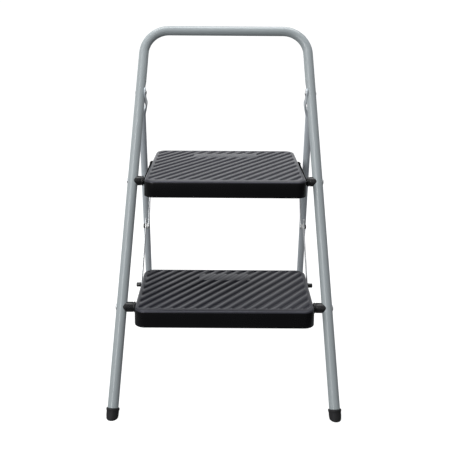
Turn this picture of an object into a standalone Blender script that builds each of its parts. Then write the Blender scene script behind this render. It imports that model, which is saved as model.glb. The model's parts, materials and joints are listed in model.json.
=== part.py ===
"""Folding two-step stool with a hooped handle frame.

The stool stands open on the floor (z = 0), centred on the origin, with its front
feet at -Y and its rear feet at +Y. X runs across the stool and +Z is up. The front
frame is the fixed body. Both steps, the side links and the rear legs turn about
axes along X, and each of them is parented to an empty on its own axis.

Places on the front frame use the frame's own plane: x across, s up along the
plane from the floor, and n behind it.
"""
import math

import bmesh
import bpy
from mathutils import Vector

# ---------------------------------------------------------------- sizes (metres)
GAP = 0.0003                  # space between pieces that touch
RUN_CLEAR = 0.0003            # radial clearance of a pin that turns in its bore
SIDE_CLEAR = 0.0005           # sideways space between pieces that turn past each other
CHAMFER = 0.0008              # small turned edges

# front frame: one hoop of round tube, leaning back, narrower at the top
LEAN = math.radians(23.7)
FRAME_TUBE_R = 0.009525
TUBE_WALL = 0.0012
FRAME_FOOT_HALF = 0.2199      # half the spacing of the tube centres at the floor
FRAME_NARROWING = 0.0397      # how much less it is where the legs would meet the top bar
FRAME_TOP_S = 0.808           # top bar, measured up the frame's plane
HOOP_BEND_R = 0.055
DIMPLE_DEPTH = 0.0012         # flat pressed into the tube under the top rivet
DIMPLE_LENGTH = 0.048
DIMPLE_RISE = 2.2             # how fast the flat comes in from its two ends

# rear legs: two straight tubes with a flattened, offset top end
REAR_TUBE_R = 0.0079
REAR_SPREAD = math.radians(22.8)
REAR_PIVOT_SHARE = 0.82178    # top rivet, as a share of the front frame's height
REAR_OFFSET = 0.018           # the tube runs this far behind its rivet
REAR_TOP_OUT = 0.0001         # rear tube outside the front leg's line at the rivet
REAR_FOOT_IN = 0.0212         # and inside the front feet at the floor
TANG_THICK = 0.0028
TANG_HALF_WIDTH = 0.0115
TANG_LENGTH = 0.014
CRANK_LENGTH = 0.030          # the flat end bends back over this length
SWELL_LENGTH = 0.030          # and then opens out into round tube over this one
CROSSBAR_Z = 0.085
CROSSBAR_R = 0.00635

# steps: moulded trays with a deep skirt and ribs below
UPPER_PIVOT_SHARE = 0.58131   # front axles, as shares of the front frame's height
LOWER_PIVOT_SHARE = 0.26089
PIVOT_DROP = 0.010            # front axle below the tread
STEP_OVERHANG = 0.042         # front face ahead of the axle
UPPER_BEHIND = 0.097          # tread behind the upper rear rod
LOWER_BEHIND = 0.032          # tread behind the lower rear rod
UPPER_SIDE_ROOM = 0.0258      # from a front leg's centre line to the upper step's side
LOWER_SIDE_ROOM = 0.0285
UPPER_NARROWING = 0.0045      # each side, front to back
LOWER_NARROWING = 0.0005
SKIRT = 0.035
STEP_WALL = 0.0030
TREAD_THICK = 0.0040
STEP_CORNER_R = 0.022
STEP_EDGE_R = 0.0045
RIB_THICK = 0.0030
RIB_X = 0.058                 # the two ribs that run front to back
RIB_BOTTOM = 0.019            # ribs stop this far above the skirt's edge
RIB_PLACE = 0.55              # cross rib, as a share of the depth
LEDGE_OUT = 0.0025            # ledge along the upper step's sides, out from its front corner
LEDGE_SLANT = 0.006           # its front end slants back over this length
LEDGE_BACK = 0.0015           # it ends this far behind the rod's cap
LEDGE_TOP = 0.0048            # below the tread
LEDGE_BOTTOM = 0.0130

# axles, rods, spacers and rivets
AXLE_R = 0.0040
SPACER_R = 0.0105
SPACER_WRAP = 0.0050          # the spacer's cupped end reaches this far round the leg
AXLE_HEAD_R = 0.0065
AXLE_HEAD_H = 0.0022
ROD_R = 0.0035
UPPER_ROD_BACK = 0.149        # upper rear rod behind the upper axle
UPPER_CAP_OUT = 0.0018        # its caps stand out from the ledges
UPPER_CAP_R = 0.0045
ROD_CAP_R = 0.0050
LOWER_CAP_OUT = 0.0120        # the lower rod's caps reach this far past its link

# side links: two flat bars riveted together, one pair on each side
LINK_BACK = 0.146             # link pivots behind the step axles
LINK_DROP = 0.014             # and below them
LINK_WIDTH = 0.014
LINK_THICK = 0.0020
LINK_JOINT = 0.130            # rivet between the two bars, up from the lower pivot
LINK_LAP = 0.018              # the lower bar runs on past the rivet
UPPER_LINK_OUT = 0.0049       # middle of the upper bar, out from the upper step's side
LINK_JOG = 0.0071             # middle of the lower bar, out from the upper at the rivet
LOWER_LINK_OUT = 0.0038       # middle of the lower bar, out from the lower step's side
PIN_R = 0.0035
RIVET_R = 0.0025
LINK_SPACER_R = 0.0062
LINK_CAP_R = 0.0055
LINK_CAP_H = 0.0040
RIVET_HEAD_R = 0.0050

# feet
FOOT_R = 0.0122
FOOT_RIM_R = 0.0131
FOOT_LENGTH = 0.0190
FOOT_SOLE = 0.008             # rubber under the tube's end
FOOT_BELOW = 0.012            # the turned foot runs on this far before the floor cuts it
FOOT_ROLL = 0.0050            # height of the rolled rim
REAR_FOOT_GROW = 0.0024       # rear foot radius over its tube

ROUND = 20                    # sides of the round pieces
SMALL_ROUND = 12

# ---------------------------------------------------------------- derived places
SIN_LEAN = math.sin(LEAN)
COS_LEAN = math.cos(LEAN)
TAPER = FRAME_NARROWING / FRAME_TOP_S
FRAME_TOP_HALF = FRAME_FOOT_HALF - FRAME_NARROWING
REAR_PIVOT_S = FRAME_TOP_S * REAR_PIVOT_SHARE
UPPER_PIVOT_S = FRAME_TOP_S * UPPER_PIVOT_SHARE
LOWER_PIVOT_S = FRAME_TOP_S * LOWER_PIVOT_SHARE
UPPER_DEPTH = STEP_OVERHANG + UPPER_ROD_BACK + UPPER_BEHIND
LOWER_DEPTH = STEP_OVERHANG + LINK_BACK + LOWER_BEHIND


def frame_dir(x, s, n=0.0):
    """A direction given along the front frame's plane."""
    return Vector((x, s * SIN_LEAN + n * COS_LEAN, s * COS_LEAN - n * SIN_LEAN))


REAR_DOWN = Vector((0, math.sin(REAR_SPREAD), -math.cos(REAR_SPREAD)))
REAR_BACK = Vector((0, math.cos(REAR_SPREAD), math.sin(REAR_SPREAD)))
REAR_RISE = frame_dir(0, REAR_PIVOT_S) + REAR_BACK * REAR_OFFSET
REAR_LENGTH = REAR_RISE.z / -REAR_DOWN.z
REAR_FOOT_R = REAR_TUBE_R + REAR_FOOT_GROW

# the floor marks of the feet set the depth, and the origin is in the middle of it
FRONT_REACH = -FOOT_R / COS_LEAN
REAR_REACH = (REAR_RISE + REAR_DOWN * REAR_LENGTH).y + REAR_FOOT_R / math.cos(REAR_SPREAD)
MIDDLE = Vector((0, (FRONT_REACH + REAR_REACH) / 2, 0))


def on_frame(x, s, n=0.0):
    """A point given in the front frame's plane."""
    return frame_dir(x, s, n) - MIDDLE


def frame_half(s):
    """Half the spacing of the front legs' centre lines at height s."""
    return FRAME_FOOT_HALF - TAPER * s


UPPER_AXLE = on_frame(0, UPPER_PIVOT_S)
LOWER_AXLE = on_frame(0, LOWER_PIVOT_S)
REAR_PIVOT = on_frame(0, REAR_PIVOT_S)
LINK_ARM = Vector((0, LINK_BACK, -LINK_DROP))
UPPER_LINK_PIN = UPPER_AXLE + LINK_ARM
LOWER_ROD = LOWER_AXLE + LINK_ARM
UPPER_ROD = UPPER_AXLE + Vector((0, UPPER_ROD_BACK, 0))
LINK_DIR = (UPPER_LINK_PIN - LOWER_ROD).normalized()
LINK_LENGTH = (UPPER_LINK_PIN - LOWER_ROD).length
LINK_RIVET = LOWER_ROD + LINK_DIR * LINK_JOINT


def step_half(upper, y):
    """Half width of a step at a place front to back."""
    if upper:
        wide = frame_half(UPPER_PIVOT_S) - UPPER_SIDE_ROOM
        return wide - UPPER_NARROWING * (y - UPPER_AXLE.y + STEP_OVERHANG) / UPPER_DEPTH
    wide = frame_half(LOWER_PIVOT_S) - LOWER_SIDE_ROOM
    return wide - LOWER_NARROWING * (y - LOWER_AXLE.y + STEP_OVERHANG) / LOWER_DEPTH


LEDGE_HALF = step_half(True, UPPER_AXLE.y - STEP_OVERHANG) + LEDGE_OUT
UPPER_ROD_HALF = LEDGE_HALF + UPPER_CAP_OUT
UPPER_LINK_X = step_half(True, UPPER_LINK_PIN.y) + UPPER_LINK_OUT
LOWER_LINK_JOINT_X = UPPER_LINK_X + LINK_JOG
LOWER_LINK_EYE_X = step_half(False, LOWER_ROD.y) + LOWER_LINK_OUT
LOWER_ROD_HALF = LOWER_LINK_EYE_X + LOWER_CAP_OUT
REAR_HALF_TOP = frame_half(REAR_PIVOT_S) + REAR_TOP_OUT
REAR_HALF_FOOT = FRAME_FOOT_HALF - REAR_FOOT_IN
DIMPLE_X = frame_half(REAR_PIVOT_S) - FRAME_TUBE_R + DIMPLE_DEPTH
TANG_X = DIMPLE_X - GAP - TANG_THICK / 2
SWELL_START = TANG_LENGTH + 0.9 * CRANK_LENGTH


# ---------------------------------------------------------------- scene helpers
def clear_scene():
    for obj in list(bpy.data.objects):
        bpy.data.objects.remove(obj, do_unlink=True)


def material(name, colour, roughness, metallic=0.0):
    mat = bpy.data.materials.new(name)
    mat.use_nodes = True
    shader = mat.node_tree.nodes["Principled BSDF"]
    shader.inputs["Base Color"].default_value = (*colour, 1.0)
    shader.inputs["Roughness"].default_value = roughness
    shader.inputs["Metallic"].default_value = metallic
    mat.diffuse_color = (*colour, 1.0)
    return mat


def pivot(name, place):
    """An empty on a joint's axis, which carries the pieces that turn with it."""
    empty = bpy.data.objects.new(name, None)
    empty.location = place
    bpy.context.scene.collection.objects.link(empty)
    return empty


def add_object(name, bm, mat, parent=None):
    """Turn a bmesh in world places into an object whose origin is its parent's."""
    bmesh.ops.remove_doubles(bm, verts=bm.verts, dist=1e-7)
    bmesh.ops.recalc_face_normals(bm, faces=bm.faces)
    origin = parent.location if parent else Vector()
    bmesh.ops.translate(bm, verts=bm.verts, vec=-origin)
    mesh = bpy.data.meshes.new(name)
    bm.to_mesh(mesh)
    bm.free()
    if mat:
        mesh.materials.append(mat)
    mesh.shade_smooth()
    mesh.set_sharp_from_angle(angle=math.radians(35))
    obj = bpy.data.objects.new(name, mesh)
    obj.parent = parent
    bpy.context.scene.collection.objects.link(obj)
    return obj


def cut(obj, bm, label):
    """Take the shapes in bm away from obj with a live Boolean."""
    cutter = add_object(f"{obj.name}_{label}", bm, None, obj.parent)
    cutter.hide_render = True
    cutter.display_type = "WIRE"
    boolean = obj.modifiers.new(label, "BOOLEAN")
    boolean.operation = "DIFFERENCE"
    boolean.solver = "EXACT"
    boolean.object = cutter


# ---------------------------------------------------------------- shape helpers
def skin(bm, rings, closed=False):
    """Join equal rings of points with quads, and cap the two ends or close the loop."""
    loops = [[bm.verts.new(point) for point in ring] for ring in rings]
    pairs = list(zip(loops, loops[1:]))
    if closed:
        pairs.append((loops[-1], loops[0]))
    for low, high in pairs:
        for i in range(len(low)):
            j = (i + 1) % len(low)
            bm.faces.new((low[i], low[j], high[j], high[i]))
    if not closed:
        bm.faces.new(list(reversed(loops[0])))
        bm.faces.new(loops[-1])
    return bm


def circle(centre, axis, radius, count, side=None):
    """Points on a circle about an axis, starting towards side."""
    axis = axis.normalized()
    side = side or (Vector((0, 1, 0)) if abs(axis.x) > 0.9 else Vector((1, 0, 0)))
    u = (side - axis * side.dot(axis)).normalized()
    v = axis.cross(u)
    angles = [2 * math.pi * i / count for i in range(count)]
    return [centre + u * (radius * math.cos(a)) + v * (radius * math.sin(a)) for a in angles]


def turned(profile, base, axis, closed=False, count=ROUND, bm=None):
    """Revolve (distance along axis, radius) pairs about a line through base."""
    bm = bm or bmesh.new()
    rings = [circle(base + axis * t, axis, radius, count) for t, radius in profile]
    return skin(bm, rings, closed)


def bar_x(place, x0, x1, radius, count=SMALL_ROUND, bm=None):
    """A plain round bar along X through a place in the side view."""
    base = Vector((0, place.y, place.z))
    return turned([(x0, radius), (x1, radius)], base, Vector((1, 0, 0)), False, count, bm)


def turned_x(place, profile, closed=False, count=SMALL_ROUND, side=1):
    """Revolve a profile about X; side -1 mirrors it to the left."""
    base = Vector((0, place.y, place.z))
    return turned(profile, base, Vector((side, 0, 0)), closed, count)


def rounded_polygon(corners, radius, steps=4):
    """Corner points, counter-clockwise, with each corner turned into an arc."""
    points = []
    for i, corner in enumerate(corners):
        before = (corners[i - 1] - corner).normalized()
        after = (corners[(i + 1) % len(corners)] - corner).normalized()
        half = math.acos(max(-1, min(1, before.dot(after)))) / 2
        centre = corner + (before + after).normalized() * (radius / math.sin(half))
        start = corner + before * (radius / math.tan(half)) - centre
        end = corner + after * (radius / math.tan(half)) - centre
        sweep = start.angle(end)
        for k in range(steps + 1):
            t = k / steps
            a = math.sin((1 - t) * sweep) / math.sin(sweep)
            b = math.sin(t * sweep) / math.sin(sweep)
            points.append(centre + start * a + end * b)
    return points


# ---------------------------------------------------------------- front frame
def hoop_line():
    """Centre line of the front frame from the left foot over the top to the right."""
    slope = math.atan(TAPER)
    turn = math.pi / 2 - slope
    setback = HOOP_BEND_R / math.tan((math.pi - turn) / 2)
    start_t = FOOT_SOLE + GAP
    leg_dir = Vector((TAPER, 1)).normalized()
    corner = Vector((-FRAME_TOP_HALF, FRAME_TOP_S))
    bend_start = corner - leg_dir * setback
    centre = bend_start + Vector((leg_dir.y, -leg_dir.x)) * HOOP_BEND_R
    left = [Vector((-FRAME_FOOT_HALF, 0)) + leg_dir * start_t]
    for k in range(-4, 5):
        s = REAR_PIVOT_S + k * DIMPLE_LENGTH / 8
        left.append(Vector((-frame_half(s), s)))
    arm = bend_start - centre
    steps = 6
    for k in range(steps + 1):
        a = -turn * k / steps
        c, w = math.cos(a), math.sin(a)
        left.append(centre + Vector((arm.x * c - arm.y * w, arm.x * w + arm.y * c)))
    right = [Vector((-p.x, p.y)) for p in reversed(left)]
    return left + right


def hoop_rings(radius):
    """Rings of the hoop, with a flat pressed into its inner side at the top rivets."""
    line = hoop_line()
    behind = frame_dir(0, 0, 1)
    rings = []
    for i, p in enumerate(line):
        before = line[max(i - 1, 0)]
        after = line[min(i + 1, len(line) - 1)]
        along2d = (after - before).normalized()
        along = frame_dir(along2d.x, along2d.y)
        ring = circle(on_frame(p.x, p.y), along, radius, ROUND, behind)
        away = abs(p.y - REAR_PIVOT_S) / (DIMPLE_LENGTH / 2)
        if away < 1.01 and abs(p.x) > FRAME_TOP_HALF * 0.9:
            share = min(1.0, DIMPLE_RISE * (1 - min(away, 1.0)))
            flat = frame_half(REAR_PIVOT_S) - radius + DIMPLE_DEPTH
            free = abs(p.x) - radius
            limit = free + (flat - free) * share
            for point in ring:
                if abs(point.x) < limit:
                    point.x = math.copysign(limit, point.x)
        rings.append(ring)
    return rings


def front_frame(mat, root):
    outer = hoop_rings(FRAME_TUBE_R)
    inner = hoop_rings(FRAME_TUBE_R - TUBE_WALL)
    bm = skin(bmesh.new(), outer + list(reversed(inner)), closed=True)
    frame = add_object("front_frame", bm, mat, root)
    holes = bmesh.new()
    for place, radius in (
        (UPPER_AXLE, AXLE_R + GAP),
        (LOWER_AXLE, AXLE_R + GAP),
        (REAR_PIVOT, RIVET_R + GAP),
    ):
        for side in (-1, 1):
            reach = FRAME_FOOT_HALF + 2 * FRAME_TUBE_R
            inside = FRAME_TOP_HALF - 3 * FRAME_TUBE_R
            bar_x(place, *sorted((side * inside, side * reach)), radius, SMALL_ROUND, holes)
    cut(frame, holes, "holes")


def foot(name, mat, root, floor_point, axis, tube_r, outer):
    """A rubber ferrule over a tube's end, cut flat by the floor."""
    rim = outer + (FOOT_RIM_R - FOOT_R)
    bore = tube_r + GAP
    profile = [
        (-FOOT_BELOW, outer - CHAMFER),
        (FOOT_BELOW / 3, outer),
        (FOOT_LENGTH - FOOT_ROLL, outer),
        (FOOT_LENGTH - 0.7 * FOOT_ROLL, rim),
        (FOOT_LENGTH - CHAMFER, rim),
        (FOOT_LENGTH, rim - CHAMFER),
        (FOOT_LENGTH, bore),
        (FOOT_SOLE, bore),
    ]
    bm = turned(profile, floor_point, axis)
    floor = bmesh.ops.bisect_plane(
        bm,
        geom=bm.verts[:] + bm.edges[:] + bm.faces[:],
        plane_co=(0, 0, 0),
        plane_no=(0, 0, -1),
        clear_outer=True,
    )
    edges = [e for e in floor["geom_cut"] if isinstance(e, bmesh.types.BMEdge)]
    bmesh.ops.contextual_create(bm, geom=edges)
    add_object(name, bm, mat, root)


def front_feet(mat, root):
    for name, side in (("left", -1), ("right", 1)):
        floor_point = on_frame(side * FRAME_FOOT_HALF, 0)
        axis = frame_dir(-side * TAPER, 1).normalized()
        foot(f"front_foot_{name}", mat, root, floor_point, axis, FRAME_TUBE_R, FOOT_R)


def axle_set(level, place, pivot_s, metal, plastic, root):
    """One front axle with its two cupped spacers and two end heads."""
    upper = level == "upper"
    leg_x = frame_half(pivot_s)
    head_x = leg_x + FRAME_TUBE_R + 2 * GAP
    end = head_x + AXLE_HEAD_H / 2
    add_object(f"{level}_axle", bar_x(place, -end, end, AXLE_R), metal, root)
    step_x = max(step_half(upper, place.y - SPACER_R), step_half(upper, place.y + SPACER_R))
    if upper:
        step_x = max(step_x, LEDGE_HALF)
    for name, side in (("left", -1), ("right", 1)):
        start = step_x + SIDE_CLEAR
        stop = leg_x - FRAME_TUBE_R + SPACER_WRAP
        bore = AXLE_R + GAP
        profile = [
            (start, bore),
            (start, SPACER_R - 0.0012),
            (start + 0.0012, SPACER_R),
            (stop, SPACER_R),
            (stop, bore),
        ]
        spacer = add_object(
            f"{level}_spacer_{name}", turned_x(place, profile, True, ROUND, side), plastic, root
        )
        leg_axis = frame_dir(-side * TAPER, 1).normalized()
        centre = on_frame(side * leg_x, pivot_s)
        reach = 3 * SPACER_R
        leg = turned([(-reach, FRAME_TUBE_R + GAP), (reach, FRAME_TUBE_R + GAP)], centre, leg_axis)
        cut(spacer, leg, "leg_seat")
        inner = AXLE_HEAD_H / 2 + GAP
        head = [
            (head_x, bore),
            (head_x, AXLE_HEAD_R),
            (head_x + 0.6 * AXLE_HEAD_H, AXLE_HEAD_R),
            (head_x + AXLE_HEAD_H, 0.6 * AXLE_HEAD_R),
            (head_x + AXLE_HEAD_H + 0.0003, 0.0008),
            (head_x + inner, 0.0008),
            (head_x + inner, bore),
        ]
        cap = turned_x(place, head, True, SMALL_ROUND, side)
        add_object(f"{level}_axle_head_{name}", cap, metal, root)


def top_rivets(metal, root):
    """Rivets that carry the rear legs, from inside the legs' tangs to the frame's outer side."""
    for name, side in (("left", -1), ("right", 1)):
        inner = TANG_X - TANG_THICK / 2 - GAP
        outer = frame_half(REAR_PIVOT_S) + FRAME_TUBE_R + 2 * GAP
        profile = [
            (inner - 0.0025, 0.6 * RIVET_HEAD_R),
            (inner - 0.0015, RIVET_HEAD_R),
            (inner, RIVET_HEAD_R),
            (inner, RIVET_R),
            (outer, RIVET_R),
            (outer, RIVET_HEAD_R),
            (outer + 0.0010, RIVET_HEAD_R),
            (outer + 0.0020, 0.6 * RIVET_HEAD_R),
        ]
        rivet = turned_x(REAR_PIVOT, profile, False, SMALL_ROUND, side)
        add_object(f"top_rivet_{name}", rivet, metal, root)


# ---------------------------------------------------------------- steps
def plan_ring(upper, front, depth, inset, z, radius):
    """A step's outline seen from above, moved in by inset."""
    back = front + depth
    corners = [
        Vector((-step_half(upper, front) + inset, front + inset, z)),
        Vector((step_half(upper, front) - inset, front + inset, z)),
        Vector((step_half(upper, back) - inset, back - inset, z)),
        Vector((-step_half(upper, back) + inset, back - inset, z)),
    ]
    return rounded_polygon(corners, radius)


def pockets(upper, front, depth, bottom, top):
    """The hollows below a step's tread, split by ribs."""
    bm = bmesh.new()
    back = front + depth
    ceiling = top - TREAD_THICK
    radius = STEP_CORNER_R - STEP_WALL
    half_rib = RIB_THICK / 2
    middle = front + RIB_PLACE * depth
    rows = ((front + STEP_WALL, middle - half_rib), (middle + half_rib, back - STEP_WALL))
    for y0, y1 in rows:
        for column in (-1, 0, 1):
            if column == 0:
                left = (-RIB_X + half_rib, -RIB_X + half_rib)
                right = (RIB_X - half_rib, RIB_X - half_rib)
            else:
                near = RIB_X + half_rib
                far = [step_half(upper, y) - STEP_WALL for y in (y0, y1)]
                left, right = ((near, near), far) if column == 1 else ([-x for x in far], (-near, -near))
            corners = [(left[0], y0), (right[0], y0), (right[1], y1), (left[1], y1)]
            rings = []
            for z in (bottom - 0.01, ceiling):
                rings.append(rounded_polygon([Vector((x, y, z)) for x, y in corners], radius, 3))
            skin(bm, rings)
    # one shallow hollow under all the ribs leaves them short of the skirt's edge
    shallow = [
        plan_ring(upper, front, depth, STEP_WALL, z, radius) for z in (bottom - 0.01, bottom + RIB_BOTTOM)
    ]
    under = skin(bmesh.new(), shallow)
    return bm, under


def add_ledges(tray, top):
    """The upper step's side ledges, from near its front corners back to the rear rod."""
    bm = bmesh.new()
    front = UPPER_AXLE.y - STEP_OVERHANG + STEP_CORNER_R
    back = UPPER_ROD.y + UPPER_CAP_R + LEDGE_BACK
    inside = step_half(True, back) - STEP_WALL
    for side in (-1, 1):
        plan = [(inside, front), (LEDGE_HALF, front + LEDGE_SLANT), (LEDGE_HALF, back), (inside, back)]
        rings = [
            [Vector((side * x, y, z)) for x, y in plan] for z in (top - LEDGE_BOTTOM, top - LEDGE_TOP)
        ]
        skin(bm, rings)
    ledges = add_object(f"{tray.name}_ledges", bm, None, tray.parent)
    ledges.hide_render = True
    ledges.display_type = "WIRE"
    union = tray.modifiers.new("ledges", "BOOLEAN")
    union.operation = "UNION"
    union.solver = "EXACT"
    union.object = ledges


def step(level, axle, depth, bores, mat, root):
    """A moulded step: rounded tray, hollow and ribbed below, bored for its axle and rods."""
    upper = level == "upper"
    front = axle.y - STEP_OVERHANG
    top = axle.z + PIVOT_DROP
    bottom = top - SKIRT
    rings = [plan_ring(upper, front, depth, 0.0, bottom, STEP_CORNER_R)]
    for k in range(4):
        a = k / 3 * math.pi / 2
        inset = STEP_EDGE_R * (1 - math.cos(a))
        z = top - STEP_EDGE_R * (1 - math.sin(a))
        rings.append(plan_ring(upper, front, depth, inset, z, STEP_CORNER_R - inset))
    tray = add_object(f"{level}_step", skin(bmesh.new(), rings), mat, root)
    cells, under = pockets(upper, front, depth, bottom, top)
    if upper:
        add_ledges(tray, top)
    cut(tray, cells, "cells")
    cut(tray, under, "under")
    holes = bmesh.new()
    for place, radius in bores:
        bar_x(place, -0.2 - depth, 0.2 + depth, radius, SMALL_ROUND, holes)
    cut(tray, holes, "bores")


def rod_cap(name, place, x0, x1, radius, bore, bore_end, mat, root, side):
    """A blind plastic cap pushed over a rod's end."""
    profile = [
        (x0, bore),
        (x0, radius),
        (x1 - 0.0005, radius),
        (x1, radius - 0.0005),
        (x1, 0.0006),
        (bore_end, 0.0006),
        (bore_end, bore),
    ]
    add_object(name, turned_x(place, profile, True, SMALL_ROUND, side), mat, root)


def upper_step_set(black, metal, plastic, root):
    bores = (
        (UPPER_AXLE, AXLE_R + RUN_CLEAR),
        (UPPER_ROD, ROD_R + GAP),
        (UPPER_LINK_PIN, PIN_R + GAP),
    )
    step("upper", UPPER_AXLE, UPPER_DEPTH, bores, black, root)
    cap_start = LEDGE_HALF + GAP
    rod_end = UPPER_ROD_HALF - 0.0010
    add_object("upper_rear_rod", bar_x(UPPER_ROD, -rod_end, rod_end, ROD_R), metal, root)
    pin_out = UPPER_LINK_X + LINK_THICK / 2 + SIDE_CLEAR
    wall_in = step_half(True, UPPER_LINK_PIN.y + PIN_R) - STEP_WALL - 2 * GAP
    for name, side in (("left", -1), ("right", 1)):
        rod_cap(
            f"upper_rod_cap_{name}", UPPER_ROD, cap_start, UPPER_ROD_HALF, UPPER_CAP_R,
            ROD_R + GAP, rod_end + GAP, plastic, root, side,
        )
        profile = [
            (wall_in - 0.0020, 0.6 * RIVET_HEAD_R),
            (wall_in - 0.0012, RIVET_HEAD_R),
            (wall_in, RIVET_HEAD_R),
            (wall_in, PIN_R),
            (pin_out, PIN_R),
            (pin_out, RIVET_HEAD_R),
            (pin_out + 0.0012, RIVET_HEAD_R),
            (pin_out + 0.0018, 0.6 * RIVET_HEAD_R),
        ]
        pin = turned_x(UPPER_LINK_PIN, profile, False, SMALL_ROUND, side)
        add_object(f"link_pin_{name}", pin, metal, root)


def lower_step_set(black, metal, plastic, root):
    bores = ((LOWER_AXLE, AXLE_R + RUN_CLEAR), (LOWER_ROD, ROD_R + GAP))
    step("lower", LOWER_AXLE, LOWER_DEPTH, bores, black, root)
    cap_start = LOWER_LINK_EYE_X + LINK_THICK / 2 + SIDE_CLEAR
    rod_end = LOWER_ROD_HALF - 0.0020
    add_object("lower_rear_rod", bar_x(LOWER_ROD, -rod_end, rod_end, ROD_R), metal, root)
    for name, side in (("left", -1), ("right", 1)):
        rod_cap(
            f"lower_rod_cap_{name}", LOWER_ROD, cap_start, LOWER_ROD_HALF, ROD_CAP_R,
            ROD_R + GAP, rod_end + GAP, plastic, root, side,
        )


# ---------------------------------------------------------------- side links
def flat_bar(start, end, x_start, x_end, lap, side):
    """A flat bar with round ends whose middle slants sideways between two flat eyes."""
    along = (end - start).normalized()
    across = Vector((0, -along.z, along.y))
    length = (end - start).length
    half = LINK_WIDTH / 2
    steps = 6
    low = [(-half * math.cos(k / steps * math.pi / 2), half * math.sin(k / steps * math.pi / 2))
           for k in range(1, steps + 1)]
    high = [(length + lap - t, w) for t, w in reversed(low)]
    stations = low + [(half + 0.002, half), (length - half - 0.002, half)] + high
    rings = []
    for t, w in stations:
        u = (t - half - 0.002) / (length - 2 * half - 0.004)
        x = side * (x_start + (x_end - x_start) * max(0.0, min(1.0, u)))
        centre = Vector((x, start.y, start.z)) + along * t
        thick = Vector((LINK_THICK / 2, 0, 0))
        wide = across * w
        rings.append([centre - thick - wide, centre + thick - wide,
                      centre + thick + wide, centre - thick + wide])
    return skin(bmesh.new(), rings)


def side_link(name, side, metal, dark, white, root):
    lower = flat_bar(LOWER_ROD, LINK_RIVET, LOWER_LINK_EYE_X, LOWER_LINK_JOINT_X, LINK_LAP, side)
    upper = flat_bar(LINK_RIVET, UPPER_LINK_PIN, UPPER_LINK_X, UPPER_LINK_X, 0.0, side)
    lower = add_object(f"link_lower_bar_{name}", lower, metal, root)
    upper = add_object(f"link_upper_bar_{name}", upper, metal, root)
    reach = 0.02
    holes = (
        (lower, LOWER_ROD, LOWER_LINK_EYE_X, ROD_R + RUN_CLEAR, "rod_hole"),
        (lower, LINK_RIVET, LOWER_LINK_JOINT_X, RIVET_R + GAP, "rivet_hole"),
        (upper, LINK_RIVET, UPPER_LINK_X, RIVET_R + GAP, "rivet_hole"),
        (upper, UPPER_LINK_PIN, UPPER_LINK_X, PIN_R + RUN_CLEAR, "pin_hole"),
    )
    for obj, place, x, radius, label in holes:
        ends = sorted((side * (x - reach), side * (x + reach)))
        cut(obj, bar_x(place, *ends, radius), label)
    half = LINK_THICK / 2
    inner = UPPER_LINK_X + half + GAP
    outer = LOWER_LINK_JOINT_X - half - GAP
    bore = RIVET_R + GAP
    sleeve = [(inner, bore), (inner, LINK_SPACER_R), (outer, LINK_SPACER_R), (outer, bore)]
    add_object(f"link_spacer_{name}", turned_x(LINK_RIVET, sleeve, True, ROUND, side), white, root)
    head = UPPER_LINK_X - half - GAP
    cap = LOWER_LINK_JOINT_X + half + GAP
    shank_end = cap + 0.5 * LINK_CAP_H
    shank = [
        (head - 0.0008, 0.6 * RIVET_HEAD_R),
        (head - 0.0004, RIVET_HEAD_R),
        (head, RIVET_HEAD_R),
        (head, RIVET_R),
        (shank_end, RIVET_R),
    ]
    add_object(f"link_rivet_{name}", turned_x(LINK_RIVET, shank, False, SMALL_ROUND, side), metal, root)
    end = cap + LINK_CAP_H
    shell = [
        (cap, bore),
        (cap, LINK_CAP_R),
        (end - 0.0010, LINK_CAP_R),
        (end, LINK_CAP_R - 0.0012),
        (end, 0.0006),
        (shank_end + GAP, 0.0006),
        (shank_end + GAP, bore),
    ]
    add_object(f"link_cap_{name}", turned_x(LINK_RIVET, shell, True, SMALL_ROUND, side), dark, root)


# ---------------------------------------------------------------- rear legs
def rear_half(t):
    """Half spacing of the rear tubes at distance t below their rivets."""
    return REAR_HALF_TOP + (REAR_HALF_FOOT - REAR_HALF_TOP) * t / REAR_LENGTH


def ease(t):
    return t * t * (3 - 2 * t)


def rear_ring(t, side, shrink):
    """Section of a rear leg: flat tang at the rivet, a short crank, then round tube."""
    bend = ease(max(0.0, min(1.0, (t - TANG_LENGTH) / CRANK_LENGTH)))
    u = ease(max(0.0, min(1.0, (t - SWELL_START) / SWELL_LENGTH)))
    half_x = TANG_THICK / 2 + (REAR_TUBE_R - TANG_THICK / 2) * u
    half_n = TANG_HALF_WIDTH + (REAR_TUBE_R - TANG_HALF_WIDTH) * u
    if t < 0:
        half_n = math.sqrt(max(TANG_HALF_WIDTH ** 2 - t * t, 1e-8))
    power = 4 - 2 * u
    x = side * (TANG_X + (rear_half(t) - TANG_X) * u)
    centre = Vector((x, REAR_PIVOT.y, REAR_PIVOT.z)) + REAR_DOWN * t + REAR_BACK * (REAR_OFFSET * bend)
    ring = []
    for i in range(ROUND):
        a = 2 * math.pi * i / ROUND
        c, w = math.cos(a), math.sin(a)
        c = math.copysign(abs(c) ** (2 / power), c) * (half_x - shrink)
        w = math.copysign(abs(w) ** (2 / power), w) * (half_n - shrink)
        ring.append(centre + Vector((c, 0, 0)) + REAR_BACK * w)
    return ring


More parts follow.
